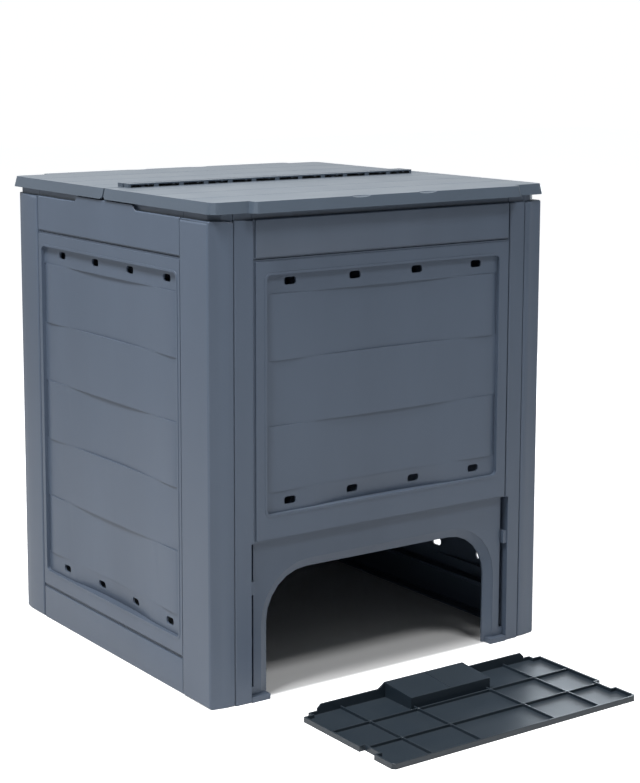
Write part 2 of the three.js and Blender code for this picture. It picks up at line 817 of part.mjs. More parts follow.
// Raised rim round the rod: a strip on knuckles, closed at both ends
function flapRim() {
  const middle = (knuckleCount - 1) / 2;
  const knuckles = [];
  for (let i = 0; i < knuckleCount; i += 1) {
    const x = (i - middle) * knucklePitch;
    knuckles.push(flapKnuckle(x - knuckleWidth / 2, x + knuckleWidth / 2));
  }
  const strip = box(-rimHalf, rimHalf, rimStart, rimDepth, rimHeight - rimWall, rimHeight);
  const edgeRib = box(-rimHalf, rimHalf, rimDepth, rimDepth + skirtWall, -knuckleDrop, -skirtWall / 2);
  const ends = [flapKnuckle(-rimHalf - rimEnd, -rimHalf), flapKnuckle(rimHalf, rimHalf + rimEnd)];
  return joined([strip, edgeRib, ...knuckles, ...ends]);
}

function lidFlap() {
  const outer = loft(flapOutline(0), 0, flapOutline(skirtFlare), -skirtHeight);
  const slope = skirtFlare / skirtHeight;
  const hollow = loft(flapOutline(slope * skirtWall - skirtWall), -skirtWall,
    flapOutline(skirtFlare - skirtWall + slope * overrun), -skirtHeight - overrun);
  const hingeSide = box(-rimHalf, rimHalf, -overrun, rimDepth, -skirtHeight - overrun, overrun);
  const heel = prismX([
    [rimStart - overrun, -heelHeight], [rimStart, -heelHeight], [rimStart + heelLength, -skirtHeight],
    [rimStart + heelLength, -skirtHeight - overrun], [rimStart - overrun, -skirtHeight - overrun],
  ], -binWidth, binWidth);
  const grooveLines = grooveShares.map((share) => lidReach * share);
  const grooves = grooveLines.map((y) => prismX([
    [y - grooveWidth / 2, grooveDepth], [y, -grooveDepth], [y + grooveWidth / 2, grooveDepth],
  ], -binWidth, binWidth));
  const seatX = halfWidth - seatRibInset;
  const seatY = halfDepth - seatRibInset;
  const seatStart = rimDepth + 2 * skirtWall;
  const seatTop = -skirtWall / 2;
  const seatBottom = -skirtWall - seatRibHeight;
  const seatRibs = [
    box(-seatX, -seatX + lidRibWall, seatStart, seatY, seatBottom, seatTop),
    box(seatX - lidRibWall, seatX, seatStart, seatY, seatBottom, seatTop),
    box(-seatX, seatX, seatY - lidRibWall, seatY, seatBottom, seatTop),
  ];
  const crossRibs = grooveLines.map((y) => box(-seatX + lidRibWall / 2, seatX - lidRibWall / 2,
    y - lidRibWall / 2, y + lidRibWall / 2, -skirtWall - lidRibHeight, seatTop));
  const clipX = halfWidth - clipInset;
  const bossX = halfWidth - bossInset;
  const details = [-1, 1].flatMap((side) => [
    ...flapClip(side * clipX, halfDepth - clipReach),
    flapBoss(side * bossX, lidReach * bossShare),
  ]);
  const scoops = [-1, 1].map((side) => scoop(side * binWidth * scoopShare));
  const sheet = cutBy(outer, [hollow, hingeSide, heel, ...grooves, ...scoops]);
  const bore = rodAlongX(rodRadius + runningGap, -rodHalfLength - runningGap, rodHalfLength + runningGap,
    rodSetback, 0);
  return joined([sheet, flapRim(), ...seatRibs, ...crossRibs, ...details]).subtract(bore);
}

// Hinge beam across the bin, with the brackets that hold both rods
function hingeBeam() {
  const half = beamWidth / 2;
  const channel = box(-beamHalf, beamHalf, -half, half, beamBottom, beamTop)
    .subtract(box(-binWidth, binWidth, -half + shell, half - shell, beamBottom - overrun, beamTop - shell));
  const places = bracketPitches.flatMap((pitches) => [-pitches * knucklePitch, pitches * knucklePitch]);
  const brackets = places.flatMap((x) => [-rodSetback, rodSetback].flatMap((y) => {
    const x0 = x - bracketWidth / 2;
    const x1 = x + bracketWidth / 2;
    return [
      box(x0, x1, y - bracketRadius, y + bracketRadius, beamTop - shell / 2, lidTop),
      rodAlongX(bracketRadius, x0, x1, y, lidTop),
    ];
  }));
  const bores = [-rodSetback, rodSetback].map((y) =>
    rodAlongX(rodRadius + runningGap, -binWidth, binWidth, y, lidTop));
  return cutBy(joined([channel, ...brackets]), bores);
}

// The assembly

function finish(color, roughness) {
  return new THREE.MeshStandardMaterial({ color, roughness, metalness: 0 });
}

function part(name, solid, color, roughness = 0.55) {
  const mesh = new THREE.Mesh(geometryOf(solid), finish(color, roughness));
  mesh.name = name;
  return mesh;
}

// A wall's group: built as the front wall is, then turned to its side of the bin
function wall(turn, distance, meshes) {
  const group = new THREE.Group();
  group.rotation.z = turn;
  meshes.forEach((mesh) => {
    mesh.position.y = -distance;
    group.add(mesh);
  });
  return group;
}

const bin = new THREE.Group();

const frontSpan = frontPanelHalf - seam / 2;
const sideSpan = sidePanelHalf - seam / 2;
const sidePanel = {
  halfSpan: sideSpan,
  z0: footSeamHeight + seam / 2,
  z1: railSeamHeight - seam / 2,
  fieldMargin: sideFieldMargin,
  fieldFoot: sideFieldFoot,
  bottomStrip: sideBottomStrip,
  planks: sidePlanks,
  slotMargin: sideSlotMargin,
};
const backPanel = wallPanel({
  ...sidePanel,
  halfSpan: frontSpan,
  fieldMargin: frontFieldMargin,
  slotMargin: frontSlotMargin,
  slotShift: 0,
});
const frontPanel = wallPanel({
  halfSpan: frontSpan,
  z0: openingHeight,
  z1: railSeamHeight - seam / 2,
  fieldMargin: frontFieldMargin,
  fieldFoot: frontFieldFoot,
  bottomStrip: frontBottomStrip,
  planks: frontPlanks,
  slotMargin: frontSlotMargin,
  slotShift: 0,
});
const leftStile = frontStile();
const rearStile = stileBody();

bin.add(wall(0, halfDepth, [
  part('front_top_rail', frontTopRail(frontSpan), wallColor),
  part('front_panel', frontPanel, wallColor),
  part('front_left_stile', leftStile, wallColor),
  part('front_right_stile', mirrored(leftStile, 'x'), wallColor),
  part('hatch_frame', hatchFrame(), wallColor),
]));
bin.add(wall(Math.PI, halfDepth, [
  part('back_top_rail', frontTopRail(frontSpan), wallColor),
  part('back_panel', backPanel, wallColor),
  part('back_bottom_rail', bottomRail(frontSpan), wallColor),
  part('back_right_stile', rearStile, wallColor),
  part('back_left_stile', mirrored(rearStile, 'x'), wallColor),
]));
bin.add(wall(-Math.PI / 2, halfWidth, [
  part('left_top_rail', sideTopRail(sideSpan), wallColor),
  part('left_panel', wallPanel({ ...sidePanel, slotShift: sideSlotShift }), wallColor),
  part('left_bottom_rail', bottomRail(sideSpan), wallColor),
]));
bin.add(wall(Math.PI / 2, halfWidth, [
  part('right_top_rail', sideTopRail(sideSpan), wallColor),
  part('right_panel', wallPanel({ ...sidePanel, slotShift: -sideSlotShift }), wallColor),
  part('right_bottom_rail', bottomRail(sideSpan), wallColor),
]));

const frontLeftPost = cornerPost(frontPostOutline);
const backLeftPost = mirrored(cornerPost(backPostOutline), 'y');
const corners = [
  ['front_left_post', frontLeftPost, -halfWidth, -halfDepth],
  ['front_right_post', mirrored(frontLeftPost, 'x'), halfWidth, -halfDepth],
  ['back_left_post', backLeftPost, -halfWidth, halfDepth],
  ['back_right_post', mirrored(backLeftPost, 'x'), halfWidth, halfDepth],
];
corners.forEach(([name, solid, x, y]) => {
  const mesh = part(name, solid, wallColor);
  mesh.position.set(x, y, 0);
  bin.add(mesh);
});

const hingeRod = (y) => rodAlongX(rodRadius, -rodHalfLength, rodHalfLength, y, lidTop);
bin.add(part('hinge_beam', hingeBeam(), wallColor));
bin.add(part('front_hinge_rod', hingeRod(-rodSetback), rodColor));
bin.add(part('back_hinge_rod', hingeRod(rodSetback), rodColor));

const flap = lidFlap();
const backFlap = part('back_flap', flap, lidColor);
backFlap.position.z = lidTop;
bin.add(backFlap);
const frontFlap = part('front_flap', flap, lidColor);
frontFlap.position.z = lidTop;
frontFlap.rotation.z = Math.PI;
bin.add(frontFlap);

const looseHatch = part('hatch', hatch(), hatchColor);
looseHatch.position.y = -halfDepth - hatchAway;
bin.add(looseHatch);

// The bin's middle is moved so that the whole footprint is centred on the origin
const frontReach = halfDepth + hatchAway + hatchHeight;
const backReach = lidReach + tabReach + skirtFlare;
bin.position.y = (frontReach - backReach) / 2;

const compostBin = new THREE.Group();
compostBin.add(bin);
compostBin.updateMatrixWorld(true);

export default compostBin;
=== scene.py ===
"""Compost bin with a two-flap lid and a loose emptying hatch, dressed for its photograph.

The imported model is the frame. Its moulded pieces are shown as copies in plastic materials, with
rounded edges and with rebates along the seams of the walls. Lengths are in metres.
"""

import math

import bmesh
import bpy
from mathutils import Euler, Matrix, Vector


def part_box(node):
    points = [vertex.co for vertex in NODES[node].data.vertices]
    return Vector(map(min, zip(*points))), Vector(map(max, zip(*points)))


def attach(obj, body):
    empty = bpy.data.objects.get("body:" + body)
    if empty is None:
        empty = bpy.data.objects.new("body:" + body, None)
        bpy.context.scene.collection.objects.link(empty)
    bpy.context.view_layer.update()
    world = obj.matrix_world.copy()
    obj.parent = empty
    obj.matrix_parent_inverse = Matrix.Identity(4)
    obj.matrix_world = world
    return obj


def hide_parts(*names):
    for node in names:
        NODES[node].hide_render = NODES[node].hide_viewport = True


bl_info = {
    "name": "Compost bin with lid",
    "version": (1, 0, 0),
    "blender": (4, 5, 0),
    "location": "3D View > Sidebar > Compost bin",
    "description": "Dresses the compost bin in moulded plastic and sets up its studio",
    "category": "Object",
}

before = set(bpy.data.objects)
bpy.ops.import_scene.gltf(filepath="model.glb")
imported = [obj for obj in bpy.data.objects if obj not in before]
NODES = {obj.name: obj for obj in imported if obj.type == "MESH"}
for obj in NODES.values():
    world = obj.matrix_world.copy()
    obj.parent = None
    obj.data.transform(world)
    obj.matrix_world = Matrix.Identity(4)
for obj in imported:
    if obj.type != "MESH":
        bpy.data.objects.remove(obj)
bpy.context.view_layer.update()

MM = 0.001

# How the CAD meshes are cleaned and their edges rounded
MERGE_DISTANCE = 0.004 * MM
FLAT_ANGLE = math.radians(0.05)
EDGE_SEGMENTS = 3
PAD_EDGES_PER_RADIUS = 6

# How far a rebate's cutter stands past the wall's face, the piece's ends and its free edge
CUTTER_FRONT = 5 * MM
CUTTER_MARGIN = 8 * MM
FREE_EDGE_MARGIN = 4 * MM

# Plastic: its shine and grain, and what flow, wear and dust do to its colour
SPECULAR_LEVEL = 0.5
GRAIN_STRENGTH = 0.35
FLOW_AMOUNT = 0.05
RUBBED_GAIN = 2.2
RUBBED_LIFT = 0.02
DUST_COLOUR = (0.30, 0.31, 0.31, 1)

# Studio: the paper floor, and the world as the camera and the bin see it
FLOOR_HALF = 12.0
PAPER_COLOUR = (0.8, 0.8, 0.8, 1)
# Paper colour under the bin: painted shade, darker paper where the bin's inside stands
PAINTED_SHADE_PAPER_COLOUR = (0.62, 0.62, 0.62, 1)
PAPER_GLOW = 0.80
SHADE_START = 18 * MM
SHADE_END = 4 * MM
SKY_COLOUR = (0.91, 0.96, 1.0, 1)
BACKDROP_STRENGTH = 1.1
SENSOR_WIDTH = 36

# Softboxes by the name of their settings: what they face, width, height and colour
SOFTBOXES = {
    "key": ((0, 0.1, 0.35), 0.8, 0.7, (1, 1, 1)),
    "front": ((0, -0.1, 0.35), 0.8, 0.6, (1, 1, 1)),
    "rim": ((0.2, -0.35, 0), 1.2, 0.5, (0.80, 0.90, 1.0)),
}

POSTS = ["front_left_post", "front_right_post", "back_left_post", "back_right_post"]
STILES = ["front_left_stile", "front_right_stile", "back_left_stile", "back_right_stile"]
RAILS = [
    "front_top_rail", "back_top_rail", "left_top_rail", "right_top_rail",
    "left_bottom_rail", "right_bottom_rail", "back_bottom_rail",
]
PANELS = ["front_panel", "back_panel", "left_panel", "right_panel"]
RODS = ["front_hinge_rod", "back_hinge_rod"]
FLAPS = ["front_flap", "back_flap"]


# Settings that a user would change


class BinPlastics(bpy.types.PropertyGroup):
    wall_colour: bpy.props.FloatVectorProperty(
        name="Wall colour", description="Slate grey of the walls", subtype="COLOR",
        size=3, min=0, max=1, default=(0.066, 0.088, 0.126))
    lid_colour: bpy.props.FloatVectorProperty(
        name="Lid colour", description="Slate grey of the lid", subtype="COLOR",
        size=3, min=0, max=1, default=(0.053, 0.071, 0.096))
    hatch_colour: bpy.props.FloatVectorProperty(
        name="Hatch colour", description="Darker slate of the hatch", subtype="COLOR",
        size=3, min=0, max=1, default=(0.013, 0.021, 0.030))
    rod_colour: bpy.props.FloatVectorProperty(
        name="Rod colour", description="Near black of the hinge rods", subtype="COLOR",
        size=3, min=0, max=1, default=(0.020, 0.025, 0.030))
    gloss_roughness: bpy.props.FloatProperty(
        name="Roughness", description="Roughness of the moulded faces", min=0, max=1, default=0.42)
    grain_size: bpy.props.FloatProperty(
        name="Grain size", description="Width of one pit of the spark grain",
        unit="LENGTH", min=0.0001, default=0.9 * MM)


class BinEdges(bpy.types.PropertyGroup):
    rail_edge: bpy.props.FloatProperty(
        name="Rail edges", description="Width of the rounding on rails",
        unit="LENGTH", min=0, default=0.7 * MM)
    post_edge: bpy.props.FloatProperty(
        name="Post edges", description="Width of the rounding on corner posts",
        unit="LENGTH", min=0, default=0.9 * MM)
    rebate: bpy.props.FloatProperty(
        name="Rebate", description="Width and depth of the rebate along a panel's or rail's seams",
        unit="LENGTH", min=0, default=2.8 * MM)
    rod_edge: bpy.props.FloatProperty(
        name="Rod edges", description="Width of the rounding on the hinge rods",
        unit="LENGTH", min=0, default=0.4 * MM)
    soft_edge: bpy.props.FloatProperty(
        name="Soft edges", description="Radius by which the walls' shading softens every edge",
        unit="LENGTH", min=0, default=0.35 * MM)
    hatch_edge: bpy.props.FloatProperty(
        name="Hatch edges", description="Radius by which the hatch's shading softens every edge",
        unit="LENGTH", min=0, default=1.3 * MM)
    sharp_angle: bpy.props.FloatProperty(
        name="Sharp angle", description="Edges sharper than this are rounded",
        subtype="ANGLE", default=math.radians(24))


class BinHatch(bpy.types.PropertyGroup):
    inner_column: bpy.props.FloatProperty(
        name="Inner column", description="From the hatch's middle to the nearest column of pads",
        unit="LENGTH", min=0, default=66.05 * MM)
    column_step: bpy.props.FloatProperty(
        name="Column step", description="From the inner to the outer column of pads",
        unit="LENGTH", min=0, default=83.93 * MM)
    first_row: bpy.props.FloatProperty(
        name="First row", description="From the hatch's upper edge to the first row of pads",
        unit="LENGTH", min=0, default=70.0 * MM)
    row_step: bpy.props.FloatProperty(
        name="Row step", description="From one row of pads to the next",
        unit="LENGTH", min=0, default=70.0 * MM)
    groove_drop: bpy.props.FloatProperty(
        name="Groove drop", description="From the closed hatch's top to its first plank groove",
        unit="LENGTH", min=0, default=74.2 * MM)
    groove_step: bpy.props.FloatProperty(
        name="Groove step", description="From the first plank groove down to the second",
        unit="LENGTH", min=0, default=76.3 * MM)
    groove_bar: bpy.props.FloatProperty(
        name="Groove bar", description="Side of the square bar whose corner cuts a plank groove",
        unit="LENGTH", min=0, default=1.7 * MM)
    groove_end: bpy.props.FloatProperty(
        name="Groove end", description="From a plank groove's end to the hatch's edge",
        unit="LENGTH", min=0, default=4.0 * MM)
    pad_radius: bpy.props.FloatProperty(
        name="Pad radius", description="Radius of an ejector pad",
        unit="LENGTH", min=0, default=2.6 * MM)
    pad_foot: bpy.props.FloatProperty(
        name="Pad foot", description="Height at which a pad starts, inside the hatch's floor",
        unit="LENGTH", min=0, default=2.4 * MM)
    pad_height: bpy.props.FloatProperty(
        name="Pad height", description="From a pad's foot to its top, just over the ribs",
        unit="LENGTH", min=0, default=5.0 * MM)


class BinStage(bpy.types.PropertyGroup):
    camera_place: bpy.props.FloatVectorProperty(
        name="Camera place", description="Where the camera stands", subtype="XYZ",
        unit="LENGTH", size=3, default=(-1.5823, -2.1944, 0.9285))
    camera_turn: bpy.props.FloatProperty(
        name="Camera turn", description="Compass turn of the view from +Y towards +X",
        subtype="ANGLE", default=math.radians(34.5415))
    camera_pitch: bpy.props.FloatProperty(
        name="Camera pitch", description="How far the camera looks down",
        subtype="ANGLE", default=math.radians(8.148))
    lens: bpy.props.FloatProperty(
        name="Lens", description="Focal length in millimetres on a 36 mm frame",
        unit="CAMERA", default=82.87)
    shift_across: bpy.props.FloatProperty(
        name="Shift across", description="Sideways shift of the frame", default=0.045)
    shift_up: bpy.props.FloatProperty(
        name="Shift up", description="Upward shift of the frame", default=-0.12)
    sky_light: bpy.props.FloatProperty(
        name="Sky light", description="Strength of the even light from all sides", default=0.24)
    room_glow: bpy.props.FloatProperty(
        name="Room glow", description="Brightness of the room behind the camera in reflections",
        default=0.30)
    key_power: bpy.props.FloatProperty(
        name="Key light", description="Power of the softbox over the left, in watts",
        unit="POWER", default=128.0)
    key_place: bpy.props.FloatVectorProperty(
        name="Key place", description="Where the softbox over the left hangs", subtype="XYZ",
        unit="LENGTH", size=3, default=(-1.40, -0.35, 2.95))
    front_power: bpy.props.FloatProperty(
        name="Front light", description="Power of the softbox over the front, in watts",
        unit="POWER", default=39.5)
    front_place: bpy.props.FloatVectorProperty(
        name="Front place", description="Where the softbox over the front hangs", subtype="XYZ",
        unit="LENGTH", size=3, default=(0.30, -1.60, 2.95))
    rim_power: bpy.props.FloatProperty(
        name="Rim light", description="Power of the softbox behind the hatch, in watts",
        unit="POWER", default=14.0)
    rim_place: bpy.props.FloatVectorProperty(
        name="Rim place", description="Where the softbox behind the hatch stands", subtype="XYZ",
        unit="LENGTH", size=3, default=(2.25, 1.45, 0.42))


def settings(name):
    """The scene's property group of that name."""
    return getattr(bpy.context.scene, name)


# Shader node groups that several plastics share


def new_group(name, inputs, outputs):
    """Shader group with named sockets; inputs and outputs hold (name, socket type, default)."""
    group = bpy.data.node_groups.new(name, "ShaderNodeTree")
    for label, kind, value in inputs:
        socket = group.interface.new_socket(label, in_out="INPUT", socket_type=kind)
        if value is not None:
            socket.default_value = value
    for label, kind in outputs:
        group.interface.new_socket(label, in_out="OUTPUT", socket_type=kind)
    return group, group.nodes.new("NodeGroupInput"), group.nodes.new("NodeGroupOutput")


def spark_grain():
    """Fine pitted grain of a spark-eroded mould: a height and a small change of roughness."""
    group, given, result = new_group(
        "spark_grain",
        [("Pit size", "NodeSocketFloat", 0.001), ("Roughness", "NodeSocketFloat", 0.4),
         ("Patchiness", "NodeSocketFloat", 0.06)],
        [("Height", "NodeSocketFloat"), ("Roughness", "NodeSocketFloat")])
    nodes, links = group.nodes, group.links
    place = nodes.new("ShaderNodeTexCoord")
    inverse = nodes.new("ShaderNodeMath")
    inverse.operation = "DIVIDE"
    inverse.inputs[0].default_value = 1.0
    links.new(given.outputs["Pit size"], inverse.inputs[1])
    pits = nodes.new("ShaderNodeTexNoise")
    pits.inputs["Detail"].default_value = 2.0
    links.new(place.outputs["Object"], pits.inputs["Vector"])
    links.new(inverse.outputs[0], pits.inputs["Scale"])
    links.new(pits.outputs["Fac"], result.inputs["Height"])
    patches = nodes.new("ShaderNodeTexNoise")
    patches.inputs["Scale"].default_value = 9.0
    patches.inputs["Detail"].default_value = 3.0
    links.new(place.outputs["Object"], patches.inputs["Vector"])
    centred = nodes.new("ShaderNodeMath")
    centred.operation = "SUBTRACT"
    centred.inputs[1].default_value = 0.5
    links.new(patches.outputs["Fac"], centred.inputs[0])
    spread = nodes.new("ShaderNodeMath")
    spread.operation = "MULTIPLY_ADD"
    links.new(centred.outputs[0], spread.inputs[0])
    links.new(given.outputs["Patchiness"], spread.inputs[1])
    links.new(given.outputs["Roughness"], spread.inputs[2])
    links.new(spread.outputs[0], result.inputs["Roughness"])
    return group


def flow_marks():
    """Faint streaks that the melt leaves along a moulding, as a darker and a lighter shade."""
    group, given, result = new_group(
        "flow_marks",
        [("Colour", "NodeSocketColor", (0.1, 0.1, 0.1, 1)), ("Amount", "NodeSocketFloat", 0.1)],
        [("Colour", "NodeSocketColor")])
    nodes, links = group.nodes, group.links
    place = nodes.new("ShaderNodeTexCoord")
    stretch = nodes.new("ShaderNodeMapping")
    stretch.inputs["Scale"].default_value = (7.0, 7.0, 1.6)
    links.new(place.outputs["Object"], stretch.inputs["Vector"])
    streaks = nodes.new("ShaderNodeTexNoise")
    streaks.inputs["Scale"].default_value = 1.3
    streaks.inputs["Detail"].default_value = 4.0
    streaks.inputs["Roughness"].default_value = 0.55
    links.new(stretch.outputs["Vector"], streaks.inputs["Vector"])
    level = nodes.new("ShaderNodeMapRange")
    level.inputs["From Min"].default_value = 0.3
    level.inputs["From Max"].default_value = 0.7
    level.inputs["To Min"].default_value = -1.0
    level.inputs["To Max"].default_value = 1.0
    links.new(streaks.outputs["Fac"], level.inputs["Value"])
    amount = nodes.new("ShaderNodeMath")
    amount.operation = "MULTIPLY_ADD"
    amount.inputs[2].default_value = 1.0
    links.new(level.outputs["Result"], amount.inputs[0])
    links.new(given.outputs["Amount"], amount.inputs[1])
    shade = nodes.new("ShaderNodeVectorMath")
    shade.operation = "SCALE"
    links.new(given.outputs["Colour"], shade.inputs[0])
    links.new(amount.outputs[0], shade.inputs["Scale"])
    links.new(shade.outputs["Vector"], result.inputs["Colour"])
    return group


def rubbed_edges():
    """Mask of the edges, where handling has burnished the plastic, and their softened normal."""
    group, given, result = new_group(
        "rubbed_edges",
        [("Amount", "NodeSocketFloat", 0.3), ("Width", "NodeSocketFloat", 0.001)],
        [("Mask", "NodeSocketFloat"), ("Normal", "NodeSocketVector")])
    nodes, links = group.nodes, group.links
    shape = nodes.new("ShaderNodeNewGeometry")
    softened = nodes.new("ShaderNodeBevel")
    softened.samples = 4
    links.new(given.outputs["Width"], softened.inputs["Radius"])
    links.new(softened.outputs["Normal"], result.inputs["Normal"])
    facing = nodes.new("ShaderNodeVectorMath")
    facing.operation = "DOT_PRODUCT"
    links.new(shape.outputs["Normal"], facing.inputs[0])
    links.new(softened.outputs["Normal"], facing.inputs[1])
    ridge = nodes.new("ShaderNodeMapRange")
    ridge.inputs["From Min"].default_value = 0.99
    ridge.inputs["From Max"].default_value = 0.80
    links.new(facing.outputs["Value"], ridge.inputs["Value"])
    place = nodes.new("ShaderNodeTexCoord")
    breaks = nodes.new("ShaderNodeTexNoise")
    breaks.inputs["Scale"].default_value = 26.0
    breaks.inputs["Detail"].default_value = 3.0
    links.new(place.outputs["Object"], breaks.inputs["Vector"])
    broken = nodes.new("ShaderNodeMath")
    broken.operation = "MULTIPLY"
    links.new(ridge.outputs["Result"], broken.inputs[0])
    links.new(breaks.outputs["Fac"], broken.inputs[1])
    scaled = nodes.new("ShaderNodeMath")
    scaled.operation = "MULTIPLY"
    links.new(broken.outputs[0], scaled.inputs[0])
    links.new(given.outputs["Amount"], scaled.inputs[1])
    links.new(scaled.outputs[0], result.inputs["Mask"])
    return group


def settled_dust():
    """Mask of fine dust on the faces that look up."""
    group, given, result = new_group(
        "settled_dust",
        [("Amount", "NodeSocketFloat", 0.1)],
        [("Mask", "NodeSocketFloat")])
    nodes, links = group.nodes, group.links
    shape = nodes.new("ShaderNodeNewGeometry")
    split = nodes.new("ShaderNodeSeparateXYZ")
    links.new(shape.outputs["Normal"], split.inputs["Vector"])
    upward = nodes.new("ShaderNodeMapRange")
    upward.inputs["From Min"].default_value = 0.75
    upward.inputs["From Max"].default_value = 1.0
    links.new(split.outputs["Z"], upward.inputs["Value"])
    place = nodes.new("ShaderNodeTexCoord")
    drift = nodes.new("ShaderNodeTexNoise")
    drift.inputs["Scale"].default_value = 14.0
    drift.inputs["Detail"].default_value = 6.0
    links.new(place.outputs["Object"], drift.inputs["Vector"])
    lying = nodes.new("ShaderNodeMath")
    lying.operation = "MULTIPLY"
    links.new(upward.outputs["Result"], lying.inputs[0])
    links.new(drift.outputs["Fac"], lying.inputs[1])
    scaled = nodes.new("ShaderNodeMath")
    scaled.operation = "MULTIPLY"
    links.new(lying.outputs[0], scaled.inputs[0])
    links.new(given.outputs["Amount"], scaled.inputs[1])
    links.new(scaled.outputs[0], result.inputs["Mask"])
    return group


SHARED_GROUPS = {
    "spark_grain": spark_grain,
    "flow_marks": flow_marks,
    "rubbed_edges": rubbed_edges,
    "settled_dust": settled_dust,
}


def shared(material, name):
    """The shared group, built once, placed in a material."""
    group = bpy.data.node_groups.get(name) or SHARED_GROUPS[name]()
    node = material.node_tree.nodes.new("ShaderNodeGroup")
    node.node_tree = group
    return node


def moulded_plastic(name, colour, roughness, pit_depth, wear=0.35, dust=0.10, soft=None):
    """Moulded plastic: grained, faintly streaked, rubbed at its edges and a little dusty on top.

    Soft is the radius by which the shading softens every edge, or the walls' own radius if None.
    """
    made = bpy.data.materials.get(name)
    if made:
        return made
    plastics = settings("bin_plastics")
    material = bpy.data.materials.new(name)
    material.use_nodes = True
    nodes, links = material.node_tree.nodes, material.node_tree.links
    shader = nodes["Principled BSDF"]
    shader.inputs["Specular IOR Level"].default_value = SPECULAR_LEVEL
    streaks = shared(material, "flow_marks")
    streaks.inputs["Colour"].default_value = (*colour, 1)
    streaks.inputs["Amount"].default_value = FLOW_AMOUNT
    edges = shared(material, "rubbed_edges")
    edges.inputs["Amount"].default_value = wear
    edges.inputs["Width"].default_value = soft or settings("bin_edges").soft_edge
    rubbed = nodes.new("ShaderNodeMix")
    rubbed.data_type = "RGBA"
    worn = [min(1.0, RUBBED_GAIN * channel + RUBBED_LIFT) for channel in colour]
    rubbed.inputs["B"].default_value = (*worn, 1)
    links.new(edges.outputs["Mask"], rubbed.inputs["Factor"])
    links.new(streaks.outputs["Colour"], rubbed.inputs["A"])
    film = shared(material, "settled_dust")
    film.inputs["Amount"].default_value = dust
    dusty = nodes.new("ShaderNodeMix")
    dusty.data_type = "RGBA"
    dusty.inputs["B"].default_value = DUST_COLOUR
    links.new(film.outputs["Mask"], dusty.inputs["Factor"])
    links.new(rubbed.outputs["Result"], dusty.inputs["A"])
    links.new(dusty.outputs["Result"], shader.inputs["Base Color"])
    grain = shared(material, "spark_grain")
    grain.inputs["Pit size"].default_value = plastics.grain_size
    grain.inputs["Roughness"].default_value = roughness
    links.new(grain.outputs["Roughness"], shader.inputs["Roughness"])
    bump = nodes.new("ShaderNodeBump")
    bump.inputs["Strength"].default_value = GRAIN_STRENGTH
    bump.inputs["Distance"].default_value = pit_depth
    links.new(grain.outputs["Height"], bump.inputs["Height"])
    links.new(edges.outputs["Normal"], bump.inputs["Normal"])
    links.new(bump.outputs["Normal"], shader.inputs["Normal"])
    return material


def wall_plastic():
    """Slate grey, semi-matt plastic of the walls and their seams."""
    plastics = settings("bin_plastics")
    return moulded_plastic("grained_wall", plastics.wall_colour, plastics.gloss_roughness,
                           0.05 * MM)


def lid_plastic():
    """The same plastic on the lid, where more dust settles."""
    plastics = settings("bin_plastics")
    return moulded_plastic("grained_lid", plastics.lid_colour, plastics.gloss_roughness, 0.06 * MM,
                           wear=0.45, dust=0.25)


def hatch_plastic():
    """Darker, glossier plastic of the hatch, worn at its ribs."""
    plastics = settings("bin_plastics")
    return moulded_plastic("glossy_hatch", plastics.hatch_colour, 0.36, 0.03 * MM,
                           wear=0.5, dust=0.05, soft=settings("bin_edges").hatch_edge)


def rod_plastic():
    """Near black, smooth plastic of the hinge rods."""
    plastics = settings("bin_plastics")
    return moulded_plastic("smooth_rod", plastics.rod_colour, 0.3, 0.01 * MM, wear=0.1, dust=0.0)


# Copies of CAD pieces, with rounded edges and rebated seams


def seam_ring(node):
    """Mesh of a square ring round a panel or rail that overlaps it by the rebate."""
    depth = settings("bin_edges").rebate
    low, high = map(Vector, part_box(node))
    wall_bottom, wall_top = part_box(POSTS[0])[0][2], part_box(POSTS[3])[1][2]
    across, along = (0, 1) if node.startswith(("left", "right")) else (1, 0)
    face, inward = (high[across], -1) if node.startswith(("right", "back")) else (low[across], 1)
    levels = (face - CUTTER_FRONT * inward, face + depth * inward)
    bottom, top = low.z + depth, high.z - depth
    if low.z < wall_bottom + MM:
        bottom = low.z - FREE_EDGE_MARGIN
    if high.z > wall_top - MM:
        top = high.z + FREE_EDGE_MARGIN
    outer = (low[along] - CUTTER_MARGIN, high[along] + CUTTER_MARGIN,
             low.z - CUTTER_MARGIN, high.z + CUTTER_MARGIN)
    inner = (low[along] + depth, high[along] - depth, bottom, top)

    build = bmesh.new()
    rings = []
    for start, end, foot, head in (outer, inner):
        for level in levels:
            ring = []
            for reach, height in ((start, foot), (end, foot), (end, head), (start, head)):
                place = Vector((0, 0, height))
                place[across], place[along] = level, reach
                ring.append(build.verts.new(place))
            rings.append(ring)
    for one, other in ((0, 1), (1, 3), (3, 2), (2, 0)):
        for corner in range(4):
            build.faces.new((rings[one][corner], rings[one][corner - 1],
                             rings[other][corner - 1], rings[other][corner]))
    bmesh.ops.recalc_face_normals(build, faces=build.faces)
    mesh = bpy.data.meshes.new("seam_ring")
    build.to_mesh(mesh)
    build.free()
    return mesh


def cut_rebate(piece, node):
    """Cut a rebate into a panel or rail where its outer face stops at a seam."""
    mesh = seam_ring(node)
    ring = bpy.data.objects.new("seam_ring", mesh)
    bpy.context.collection.objects.link(ring)
    cut = piece.modifiers.new("seam_rebate", "BOOLEAN")
    cut.operation = "DIFFERENCE"
    cut.solver = "EXACT"
    cut.object = ring
    settle(piece)
    bpy.data.objects.remove(ring)
    bpy.data.meshes.remove(mesh)


def round_edges(piece, width, clamp):
    """Round a piece's sharp edges; clamp keeps the rounding from meeting itself."""
    bevel = piece.modifiers.new("rounded_edges", "BEVEL")
    bevel.width = width
    bevel.segments = EDGE_SEGMENTS
    bevel.limit_method = "ANGLE"
    bevel.angle_limit = settings("bin_edges").sharp_angle
    bevel.use_clamp_overlap = clamp
    bevel.harden_normals = True
    settle(piece)


